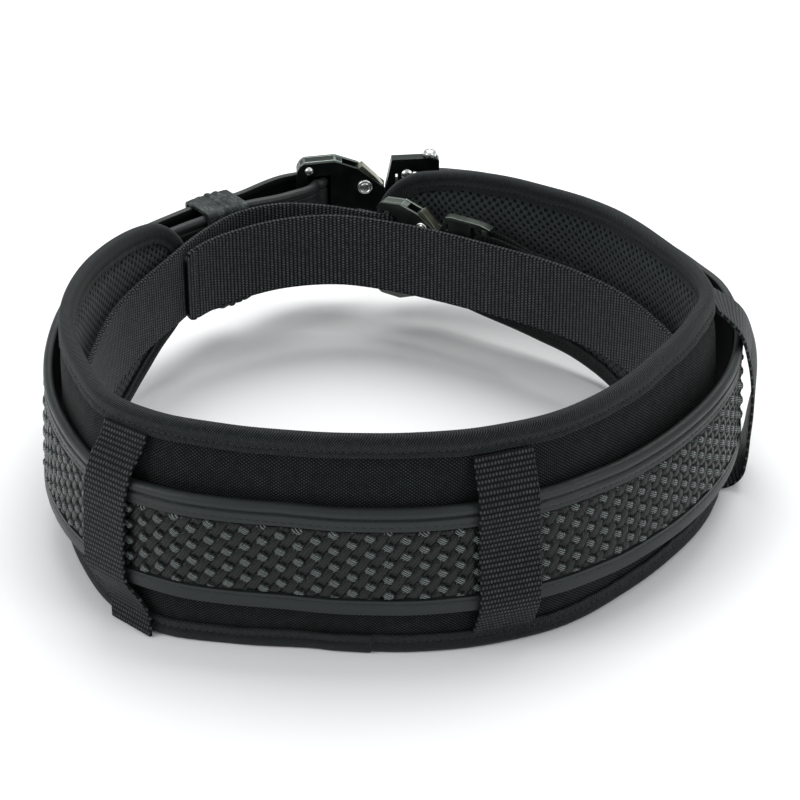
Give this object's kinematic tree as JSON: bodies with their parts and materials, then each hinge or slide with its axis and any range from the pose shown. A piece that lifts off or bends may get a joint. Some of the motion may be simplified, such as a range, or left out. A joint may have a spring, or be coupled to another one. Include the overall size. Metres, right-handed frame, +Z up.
{
  "type": "rigger belt",
  "caption": "Wide leather belt with a basket-weave panel, carried by webbing loops round a padded back support, with an inner webbing belt and metal release buckles.",
  "frame": {"origin": "middle of the belt's bounding box, on the floor under the pad's lower edge", "axes": "+Z up, the front of the pad faces -Y, +X is to the right when seen from the front"},
  "size_m": [0.377, 0.379, 0.1191],
  "materials": {
    "black_twill": "matt diagonal twill",
    "spacer_net": "knitted spacer net with staggered holes",
    "binding_tape": "matt woven tape",
    "black_leather": "smooth waxed leather",
    "nylon_webbing": "ribbed woven webbing",
    "black_coated_alloy": "black coating with bright bevelled edges",
    "plated_steel": "bright plating",
    "lever_alloy": "worn grey metal"
  },
  "bodies": {
    "root": {"belt_keeper": "black_leather", "belt_loop_centre": "nylon_webbing", "belt_loop_left": "nylon_webbing", "belt_loop_right": "nylon_webbing", "leather_belt": "black_leather", "main_buckle_arm_pin_bottom": "plated_steel", "main_buckle_arm_pin_top": "plated_steel", "main_buckle_back_plate": "black_coated_alloy", "main_buckle_core": "black_coated_alloy", "main_buckle_front_plate": "black_coated_alloy", "main_buckle_male_bar": "plated_steel", "main_buckle_male_frame": "black_coated_alloy", "main_buckle_male_stud_bottom": "plated_steel", "main_buckle_male_stud_top": "plated_steel", "main_buckle_rivet_bottom": "plated_steel", "main_buckle_rivet_top": "plated_steel", "main_buckle_strap_bar": "plated_steel", "pad_binding": "binding_tape", "pad_lining": "spacer_net", "pad_shell": "black_twill", "waist_buckle_back_plate": "black_coated_alloy", "waist_buckle_core": "black_coated_alloy", "waist_buckle_front_plate": "black_coated_alloy", "waist_buckle_male_bar": "plated_steel", "waist_buckle_male_frame": "black_coated_alloy", "waist_buckle_rivet_bottom": "plated_steel", "waist_buckle_rivet_top": "plated_steel", "waist_buckle_strap_bar": "plated_steel", "waist_webbing": "nylon_webbing", "weave_panel": "black_leather", "webbing_anchor": "nylon_webbing"},
    "main_lever_top": {"main_buckle_lever_top": "lever_alloy"},
    "main_lever_bottom": {"main_buckle_lever_bottom": "lever_alloy"},
    "waist_lever_top": {"waist_buckle_lever_top": "lever_alloy"},
    "waist_lever_bottom": {"waist_buckle_lever_bottom": "lever_alloy"}
  },
  "joints": [
    {"name": "main_lever_top_hinge", "type": "hinge", "parent": "root", "child": "main_lever_top", "pos_m": [-0.02359, 0.17823, 0.081], "axis": [-0.0523, 0.9986, 0], "range_deg": [0, 8], "stiffness_Nm_per_rad": 0.05},
    {"name": "main_lever_bottom_hinge", "type": "hinge", "parent": "root", "child": "main_lever_bottom", "pos_m": [-0.02359, 0.17823, 0.035], "axis": [-0.0523, 0.9986, 0], "range_deg": [-8, 0], "stiffness_Nm_per_rad": 0.05},
    {"name": "waist_lever_top_hinge", "type": "hinge", "parent": "root", "child": "waist_lever_top", "pos_m": [0.01184, 0.12179, 0.08047], "axis": [0.4478, 0.8941, 0], "range_deg": [0, 8], "stiffness_Nm_per_rad": 0.05},
    {"name": "waist_lever_bottom_hinge", "type": "hinge", "parent": "root", "child": "waist_lever_bottom", "pos_m": [0.01184, 0.12179, 0.04413], "axis": [0.4478, 0.8941, 0], "range_deg": [-8, 0], "stiffness_Nm_per_rad": 0.05}
  ]
}
